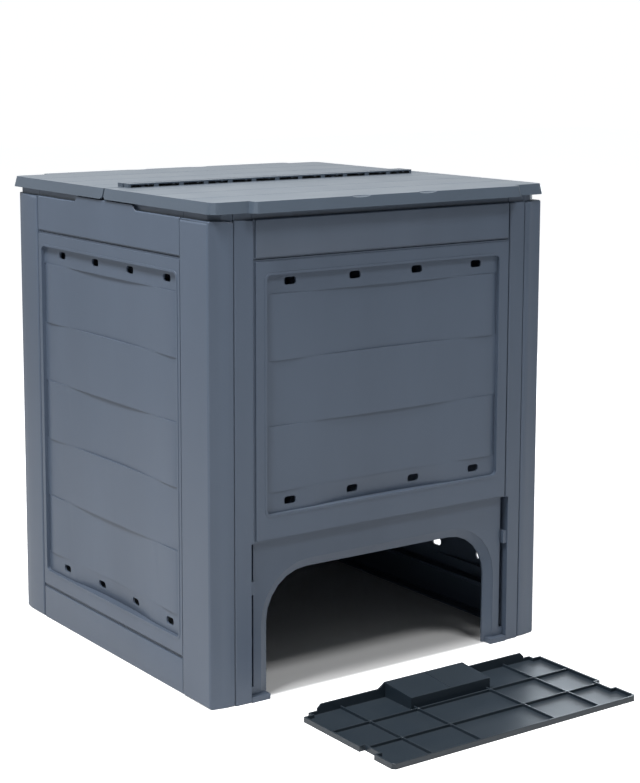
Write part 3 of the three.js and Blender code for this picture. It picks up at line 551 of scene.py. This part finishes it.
def moulding(node, width):
    """A plain mesh copy of a CAD node, its doubles merged, its edges rounded by a width."""
    sharp_angle = settings("bin_edges").sharp_angle
    mesh = NODES[node].data.copy()
    mesh.name = node + "_moulding"
    build = bmesh.new()
    build.from_mesh(mesh)
    bmesh.ops.remove_doubles(build, verts=build.verts, dist=MERGE_DISTANCE)
    if width:
        bmesh.ops.dissolve_limit(build, angle_limit=FLAT_ANGLE, verts=build.verts,
                                 edges=build.edges)
    build.to_mesh(mesh)
    build.free()
    mesh.materials.clear()
    mesh.shade_smooth()
    mesh.set_sharp_from_angle(angle=sharp_angle)
    piece = bpy.data.objects.new(node + "_moulding", mesh)
    bpy.context.collection.objects.link(piece)
    if node in PANELS + RAILS:
        cut_rebate(piece, node)
        piece.data.set_sharp_from_angle(angle=sharp_angle)
    if width:
        round_edges(piece, width, clamp=False)
    else:
        even_normals(piece.data, sharp_angle)
    return piece


def even_normals(mesh, angle):
    """Shade each corner by the faces on its own side of the edges, every one by its area."""
    limit = math.cos(angle)
    around = [[] for _ in mesh.vertices]
    for face in mesh.polygons:
        for corner in face.vertices:
            around[corner].append((face.normal.copy(), face.area))
    normals = []
    for face in mesh.polygons:
        for corner in face.vertices:
            mean = Vector()
            for normal, area in around[corner]:
                if normal.dot(face.normal) > limit:
                    mean = mean + normal * area
            normals.append(mean.normalized() if mean.length else face.normal.copy())
    mesh.normals_split_custom_set(normals)


def settle(piece):
    """Turn what an object's modifiers make into its plain mesh."""
    seen = piece.evaluated_get(bpy.context.evaluated_depsgraph_get())
    finished = bpy.data.meshes.new_from_object(seen)
    finished.name = piece.name
    piece.modifiers.clear()
    piece.data = finished


def only_material(mesh, material):
    """Leave a mesh one material slot, used by all its faces."""
    mesh.materials.clear()
    mesh.materials.append(material)
    mesh.polygons.foreach_set("material_index", [0] * len(mesh.polygons))


def dress(node, body, material, width=0, grooves=None):
    """Show a node as a moulding that rides its body; grooves hold the inputs of plank_grooves."""
    piece = moulding(node, width)
    if grooves:
        give_tree(piece, "plank_grooves", {**grooves, "Material": material})
        settle(piece)
        even_normals(piece.data, settings("bin_edges").sharp_angle)
    only_material(piece.data, material)
    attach(piece, body)
    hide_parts(node)


# Geometry Nodes: what repeats or follows a line


def new_tree(name, inputs):
    """Geometry tree with a mesh output and named inputs, given as (name, socket type)."""
    tree = bpy.data.node_groups.new(name, "GeometryNodeTree")
    tree.interface.new_socket("Mesh", in_out="OUTPUT", socket_type="NodeSocketGeometry")
    for label, kind in inputs:
        tree.interface.new_socket(label, in_out="INPUT", socket_type=kind)
    return tree, tree.nodes.new("NodeGroupInput"), tree.nodes.new("NodeGroupOutput")


def closing_nodes(tree, made, given, result):
    """Realize Instances and Set Material, the last two steps of every tree."""
    realize = tree.nodes.new("GeometryNodeRealizeInstances")
    finish = tree.nodes.new("GeometryNodeSetMaterial")
    tree.links.new(made, realize.inputs["Geometry"])
    tree.links.new(realize.outputs["Geometry"], finish.inputs["Geometry"])
    tree.links.new(given.outputs["Material"], finish.inputs["Material"])
    tree.links.new(finish.outputs["Geometry"], result.inputs["Mesh"])


def pad_grid():
    """Ejector pads in two rows of four, one where each pair of ribs crosses."""
    tree, given, result = new_tree("pad_grid", [
        ("Centre", "NodeSocketVector"), ("Inner column", "NodeSocketFloat"),
        ("Column step", "NodeSocketFloat"), ("First row", "NodeSocketFloat"),
        ("Row step", "NodeSocketFloat"), ("Radius", "NodeSocketFloat"),
        ("Height", "NodeSocketFloat"), ("Material", "NodeSocketMaterial")])
    nodes, links = tree.nodes, tree.links

    def vector(x=None, y=None, z=None):
        node = nodes.new("ShaderNodeCombineXYZ")
        for axis, socket in (("X", x), ("Y", y), ("Z", z)):
            if socket:
                links.new(socket, node.inputs[axis])
        return node.outputs["Vector"]

    def negative(socket):
        node = nodes.new("ShaderNodeMath")
        node.operation = "MULTIPLY"
        node.inputs[1].default_value = -1.0
        links.new(socket, node.inputs[0])
        return node.outputs[0]

    def line(start, offset):
        node = nodes.new("GeometryNodeMeshLine")
        node.mode = "OFFSET"
        node.inputs["Count"].default_value = 2
        links.new(start, node.inputs["Start Location"])
        links.new(offset, node.inputs["Offset"])
        return node.outputs["Mesh"]

    right = line(vector(x=given.outputs["Inner column"]), vector(x=given.outputs["Column step"]))
    mirror = nodes.new("GeometryNodeTransform")
    mirror.inputs["Scale"].default_value = (-1, 1, 1)
    links.new(right, mirror.inputs["Geometry"])
    columns = nodes.new("GeometryNodeJoinGeometry")
    links.new(right, columns.inputs["Geometry"])
    links.new(mirror.outputs["Geometry"], columns.inputs["Geometry"])
    rows = line(vector(y=negative(given.outputs["First row"])),
                vector(y=negative(given.outputs["Row step"])))
    crossings = nodes.new("GeometryNodeInstanceOnPoints")
    links.new(rows, crossings.inputs["Points"])
    links.new(columns.outputs["Geometry"], crossings.inputs["Instance"])
    places = nodes.new("GeometryNodeRealizeInstances")
    links.new(crossings.outputs["Instances"], places.inputs["Geometry"])
    pad = nodes.new("GeometryNodeMeshCylinder")
    pad.inputs["Vertices"].default_value = 20
    links.new(given.outputs["Radius"], pad.inputs["Radius"])
    links.new(given.outputs["Height"], pad.inputs["Depth"])
    standing = nodes.new("GeometryNodeInstanceOnPoints")
    links.new(places.outputs["Geometry"], standing.inputs["Points"])
    links.new(pad.outputs["Mesh"], standing.inputs["Instance"])
    moved = nodes.new("GeometryNodeTransform")
    links.new(standing.outputs["Instances"], moved.inputs["Geometry"])
    links.new(given.outputs["Centre"], moved.inputs["Translation"])
    closing_nodes(tree, moved.outputs["Geometry"], given, result)
    return tree


def plank_grooves():
    """Two V grooves cut along a moulding's face, as between planks."""
    tree, given, result = new_tree("plank_grooves", [
        ("Moulding", "NodeSocketGeometry"), ("First place", "NodeSocketVector"),
        ("Step", "NodeSocketVector"), ("Bar", "NodeSocketFloat"), ("Length", "NodeSocketFloat"),
        ("Material", "NodeSocketMaterial")])
    nodes, links = tree.nodes, tree.links
    size = nodes.new("ShaderNodeCombineXYZ")
    links.new(given.outputs["Length"], size.inputs["X"])
    links.new(given.outputs["Bar"], size.inputs["Y"])
    links.new(given.outputs["Bar"], size.inputs["Z"])
    bar = nodes.new("GeometryNodeMeshCube")
    links.new(size.outputs["Vector"], bar.inputs["Size"])
    edgewise = nodes.new("GeometryNodeTransform")
    edgewise.inputs["Rotation"].default_value = (math.pi / 4, 0, 0)
    links.new(bar.outputs["Mesh"], edgewise.inputs["Geometry"])
    places = nodes.new("GeometryNodeMeshLine")
    places.mode = "OFFSET"
    places.inputs["Count"].default_value = 2
    links.new(given.outputs["First place"], places.inputs["Start Location"])
    links.new(given.outputs["Step"], places.inputs["Offset"])
    bars = nodes.new("GeometryNodeInstanceOnPoints")
    links.new(places.outputs["Mesh"], bars.inputs["Points"])
    links.new(edgewise.outputs["Geometry"], bars.inputs["Instance"])
    solid_bars = nodes.new("GeometryNodeRealizeInstances")
    links.new(bars.outputs["Instances"], solid_bars.inputs["Geometry"])
    cut = nodes.new("GeometryNodeMeshBoolean")
    cut.operation = "DIFFERENCE"
    cut.solver = "EXACT"
    links.new(given.outputs["Moulding"], cut.inputs["Mesh 1"])
    links.new(solid_bars.outputs["Geometry"], cut.inputs["Mesh 2"])
    closing_nodes(tree, cut.outputs["Mesh"], given, result)
    return tree


def swept_rod():
    """Round rod along a straight line, with closed ends."""
    tree, given, result = new_tree("swept_rod", [
        ("Start", "NodeSocketVector"), ("End", "NodeSocketVector"),
        ("Radius", "NodeSocketFloat"), ("Material", "NodeSocketMaterial")])
    nodes, links = tree.nodes, tree.links
    axis = nodes.new("GeometryNodeCurvePrimitiveLine")
    links.new(given.outputs["Start"], axis.inputs["Start"])
    links.new(given.outputs["End"], axis.inputs["End"])
    section = nodes.new("GeometryNodeCurvePrimitiveCircle")
    section.inputs["Resolution"].default_value = 24
    links.new(given.outputs["Radius"], section.inputs["Radius"])
    sweep = nodes.new("GeometryNodeCurveToMesh")
    sweep.inputs["Fill Caps"].default_value = True
    links.new(axis.outputs["Curve"], sweep.inputs["Curve"])
    links.new(section.outputs["Curve"], sweep.inputs["Profile Curve"])
    closing_nodes(tree, sweep.outputs["Mesh"], given, result)
    return tree


TREES = {"pad_grid": pad_grid, "plank_grooves": plank_grooves, "swept_rod": swept_rod}


def give_tree(piece, tree_name, values):
    """Put a tree on a piece and fill the tree's named inputs."""
    tree = bpy.data.node_groups.get(tree_name) or TREES[tree_name]()
    modifier = piece.modifiers.new(tree_name, "NODES")
    modifier.node_group = tree
    for socket in tree.interface.items_tree:
        if socket.in_out == "INPUT" and socket.name in values:
            modifier[socket.identifier] = values[socket.name]


def grown(name, tree_name, values, width):
    """Plain mesh piece made by a tree from its named inputs, its edges rounded by a width."""
    piece = bpy.data.objects.new(name, bpy.data.meshes.new(name))
    bpy.context.collection.objects.link(piece)
    give_tree(piece, tree_name, values)
    round_edges(piece, width, clamp=True)
    piece.data.shade_smooth()
    piece.data.set_sharp_from_angle(angle=settings("bin_edges").sharp_angle)
    only_material(piece.data, values["Material"])
    return piece


# Operators: one for each group of pieces


class BIN_OT_posts(bpy.types.Operator):
    """Corner posts and the stiles beside them"""

    bl_idname = "bin.posts"
    bl_label = "Posts and stiles"

    def execute(self, context):
        for node in POSTS:
            dress(node, "walls", wall_plastic(), settings("bin_edges").post_edge)
        for node in STILES:
            dress(node, "walls", wall_plastic())
        return {"FINISHED"}


class BIN_OT_rails(bpy.types.Operator):
    """Rails over and under the panels, and the arched frame of the hatch opening"""

    bl_idname = "bin.rails"
    bl_label = "Rails and hatch frame"

    def execute(self, context):
        for node in RAILS:
            dress(node, "walls", wall_plastic(), settings("bin_edges").rail_edge)
        dress("hatch_frame", "walls", wall_plastic())
        return {"FINISHED"}


class BIN_OT_panels(bpy.types.Operator):
    """Wall panels with their wavy planks and vent slots"""

    bl_idname = "bin.panels"
    bl_label = "Wall panels"

    def execute(self, context):
        for node in PANELS:
            dress(node, "walls", wall_plastic())
        return {"FINISHED"}


class BIN_OT_hinge(bpy.types.Operator):
    """Hinge beam with its brackets, and the two rods"""

    bl_idname = "bin.hinge"
    bl_label = "Hinge"

    def execute(self, context):
        dress("hinge_beam", "walls", wall_plastic())
        for node in RODS:
            low, high = map(Vector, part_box(node))
            middle = (low + high) / 2
            rod = grown(node + "_swept", "swept_rod", {
                "Start": (low.x, middle.y, middle.z),
                "End": (high.x, middle.y, middle.z),
                "Radius": (high.z - low.z) / 2,
                "Material": rod_plastic(),
            }, settings("bin_edges").rod_edge)
            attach(rod, "walls")
            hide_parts(node)
        return {"FINISHED"}


class BIN_OT_lid(bpy.types.Operator):
    """The two flaps of the lid"""

    bl_idname = "bin.lid"
    bl_label = "Lid flaps"

    def execute(self, context):
        for node in FLAPS:
            dress(node, node, lid_plastic())
        return {"FINISHED"}


class BIN_OT_hatch(bpy.types.Operator):
    """The loose hatch, lying inside up, grooved outside and with a pad where its ribs cross"""

    bl_idname = "bin.hatch"
    bl_label = "Hatch"

    def execute(self, context):
        sizes = settings("bin_hatch")
        low, high = map(Vector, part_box("hatch"))
        middle = (low.x + high.x) / 2
        dress("hatch", "hatch", hatch_plastic(), grooves={
            "First place": (middle, low.y + sizes.groove_drop, low.z),
            "Step": (0, sizes.groove_step, 0),
            "Bar": sizes.groove_bar,
            "Length": high.x - low.x - 2 * sizes.groove_end,
        })
        pads = grown("ejector_pads", "pad_grid", {
            "Centre": (middle, high.y, low.z + sizes.pad_foot + sizes.pad_height / 2),
            "Inner column": sizes.inner_column,
            "Column step": sizes.column_step,
            "First row": sizes.first_row,
            "Row step": sizes.row_step,
            "Radius": sizes.pad_radius,
            "Height": sizes.pad_height,
            "Material": hatch_plastic(),
        }, sizes.pad_radius / PAD_EDGES_PER_RADIUS)
        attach(pads, "hatch")
        return {"FINISHED"}


# Stage


def backdrop_glow(nodes, links, room, forward):
    """Brightness met by a reflection: white towards the backdrop, dimmer behind the camera."""
    place = nodes.new("ShaderNodeTexCoord")
    facing = nodes.new("ShaderNodeVectorMath")
    facing.operation = "DOT_PRODUCT"
    facing.inputs[1].default_value = forward
    links.new(place.outputs["Generated"], facing.inputs[0])
    glow = nodes.new("ShaderNodeMapRange")
    glow.inputs["From Min"].default_value = -0.1
    glow.inputs["From Max"].default_value = 0.6
    glow.inputs["To Min"].default_value = room
    links.new(facing.outputs["Value"], glow.inputs["Value"])
    return glow.outputs["Result"]


def white_world(sky, room, turn):
    """White to the camera, even light on the bin, and a backdrop to reflect."""
    world = bpy.data.worlds.new("studio_world")
    world.use_nodes = True
    bpy.context.scene.world = world
    nodes, links = world.node_tree.nodes, world.node_tree.links
    background = nodes["Background"]
    background.inputs["Color"].default_value = SKY_COLOUR
    path = nodes.new("ShaderNodeLightPath")
    reflected = nodes.new("ShaderNodeMix")
    reflected.inputs["A"].default_value = sky
    links.new(path.outputs["Is Glossy Ray"], reflected.inputs["Factor"])
    forward = (math.sin(turn), math.cos(turn), 0)
    links.new(backdrop_glow(nodes, links, room, forward), reflected.inputs["B"])
    direct = nodes.new("ShaderNodeMix")
    direct.inputs["B"].default_value = BACKDROP_STRENGTH
    links.new(path.outputs["Is Camera Ray"], direct.inputs["Factor"])
    links.new(reflected.outputs["Result"], direct.inputs["A"])
    links.new(direct.outputs["Result"], background.inputs["Strength"])


def off_the_bin(nodes, links):
    """1 on the floor round the bin and 0 under it, where no backdrop light reaches and where the
    paper takes its painted shade.
    """
    left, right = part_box("back_left_post")[0][0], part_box("front_right_post")[1][0]
    front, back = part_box("front_left_post")[0][1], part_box("back_left_post")[1][1]
    centre = ((left + right) / 2, (front + back) / 2)
    half = (right - left) / 2
    place = nodes.new("ShaderNodeTexCoord")
    split = nodes.new("ShaderNodeSeparateXYZ")
    links.new(place.outputs["Object"], split.inputs["Vector"])
    furthest = None
    for axis, middle in zip("XY", centre):
        offset = nodes.new("ShaderNodeMath")
        offset.operation = "SUBTRACT"
        offset.inputs[1].default_value = middle
        links.new(split.outputs[axis], offset.inputs[0])
        distance = nodes.new("ShaderNodeMath")
        distance.operation = "ABSOLUTE"
        links.new(offset.outputs[0], distance.inputs[0])
        if furthest is None:
            furthest = distance.outputs[0]
            continue
        larger = nodes.new("ShaderNodeMath")
        larger.operation = "MAXIMUM"
        links.new(furthest, larger.inputs[0])
        links.new(distance.outputs[0], larger.inputs[1])
        furthest = larger.outputs[0]
    outside = nodes.new("ShaderNodeMapRange")
    outside.inputs["From Min"].default_value = half - SHADE_START
    outside.inputs["From Max"].default_value = half - SHADE_END
    links.new(furthest, outside.inputs["Value"])
    return outside.outputs["Result"]


def white_floor():
    """Paper floor, white round the bin and with the bin's own shadow on it; the paper under the
    bin is painted darker, as painted shade.
    """
    mesh = bpy.data.meshes.new("floor")
    corners = [(-1, -1), (1, -1), (1, 1), (-1, 1)]
    mesh.from_pydata([(FLOOR_HALF * x, FLOOR_HALF * y, 0) for x, y in corners], [], [(0, 1, 2, 3)])
    floor = bpy.data.objects.new("floor", mesh)
    bpy.context.collection.objects.link(floor)
    material = bpy.data.materials.new("floor_paper")
    material.use_nodes = True
    nodes, links = material.node_tree.nodes, material.node_tree.links
    paper = nodes["Principled BSDF"]
    outside = off_the_bin(nodes, links)
    # Painted shade: the paper's colour is darker under the bin
    tone = nodes.new("ShaderNodeMix")
    tone.data_type = "RGBA"
    tone.inputs["A"].default_value = PAINTED_SHADE_PAPER_COLOUR
    tone.inputs["B"].default_value = PAPER_COLOUR
    links.new(outside, tone.inputs["Factor"])
    links.new(tone.outputs["Result"], paper.inputs["Base Color"])
    paper.inputs["Roughness"].default_value = 0.9
    paper.inputs["Specular IOR Level"].default_value = 0.1
    glow = nodes.new("ShaderNodeEmission")
    level = nodes.new("ShaderNodeMath")
    level.operation = "MULTIPLY"
    level.inputs[1].default_value = PAPER_GLOW
    links.new(outside, level.inputs[0])
    links.new(level.outputs[0], glow.inputs["Strength"])
    add = nodes.new("ShaderNodeAddShader")
    links.new(paper.outputs["BSDF"], add.inputs[0])
    links.new(glow.outputs["Emission"], add.inputs[1])
    choice = nodes.new("ShaderNodeMixShader")
    path = nodes.new("ShaderNodeLightPath")
    links.new(path.outputs["Is Camera Ray"], choice.inputs["Fac"])
    links.new(paper.outputs["BSDF"], choice.inputs[1])
    links.new(add.outputs["Shader"], choice.inputs[2])
    links.new(choice.outputs["Shader"], nodes["Material Output"].inputs["Surface"])
    mesh.materials.append(material)


def softbox(name, place, power, target, width, height, colour):
    """Rectangular lamp that faces a target and isn't seen by the camera."""
    lamp = bpy.data.lights.new(name, "AREA")
    lamp.color = colour
    lamp.shape = "RECTANGLE"
    lamp.size = width
    lamp.size_y = height
    lamp.energy = power
    box = bpy.data.objects.new(name, lamp)
    bpy.context.collection.objects.link(box)
    box.location = place
    box.rotation_mode = "QUATERNION"
    box.rotation_quaternion = (Vector(target) - Vector(place)).to_track_quat("-Z", "Y")
    box.visible_camera = False


class BIN_OT_stage(bpy.types.Operator):
    """Camera at the photograph's place, white floor and soft light"""

    bl_idname = "bin.stage"
    bl_label = "Stage"

    def execute(self, context):
        stage = settings("bin_stage")
        lens = bpy.data.cameras.new("camera")
        lens.lens = stage.lens
        lens.sensor_width = SENSOR_WIDTH
        lens.shift_x = stage.shift_across
        lens.shift_y = stage.shift_up
        camera = bpy.data.objects.new("camera", lens)
        context.collection.objects.link(camera)
        camera.location = stage.camera_place
        camera.rotation_euler = Euler((math.pi / 2 - stage.camera_pitch, 0, -stage.camera_turn))
        context.scene.camera = camera
        context.scene.view_settings.view_transform = "Standard"
        white_world(stage.sky_light, stage.room_glow, stage.camera_turn)
        white_floor()
        for name, shape in SOFTBOXES.items():
            place, power = getattr(stage, name + "_place"), getattr(stage, name + "_power")
            softbox(name + "_softbox", place, power, *shape)
        return {"FINISHED"}


class BIN_PT_panel(bpy.types.Panel):
    """Compost bin tools in the 3D view's sidebar"""

    bl_idname = "BIN_PT_panel"
    bl_label = "Compost bin"
    bl_space_type = "VIEW_3D"
    bl_region_type = "UI"
    bl_category = "Compost bin"

    def draw(self, context):
        for group in SETTING_GROUPS:
            values = getattr(context.scene, group)
            for name in values.__annotations__:
                self.layout.prop(values, name)
        for step in STEPS:
            self.layout.operator(step.bl_idname)


STEPS = [
    BIN_OT_posts, BIN_OT_rails, BIN_OT_panels, BIN_OT_hinge, BIN_OT_lid, BIN_OT_hatch,
    BIN_OT_stage,
]
SETTING_GROUPS = {
    "bin_plastics": BinPlastics,
    "bin_edges": BinEdges,
    "bin_hatch": BinHatch,
    "bin_stage": BinStage,
}


def register():
    for kind in [*SETTING_GROUPS.values(), *STEPS, BIN_PT_panel]:
        bpy.utils.register_class(kind)
    for name, kind in SETTING_GROUPS.items():
        setattr(bpy.types.Scene, name, bpy.props.PointerProperty(type=kind))


def unregister():
    for name in SETTING_GROUPS:
        delattr(bpy.types.Scene, name)
    for kind in reversed([*SETTING_GROUPS.values(), *STEPS, BIN_PT_panel]):
        bpy.utils.unregister_class(kind)


def main():
    register()
    bpy.ops.bin.posts()
    bpy.ops.bin.rails()
    bpy.ops.bin.panels()
    bpy.ops.bin.hinge()
    bpy.ops.bin.lid()
    bpy.ops.bin.hatch()
    bpy.ops.bin.stage()


if __name__ == "__main__":
    main()
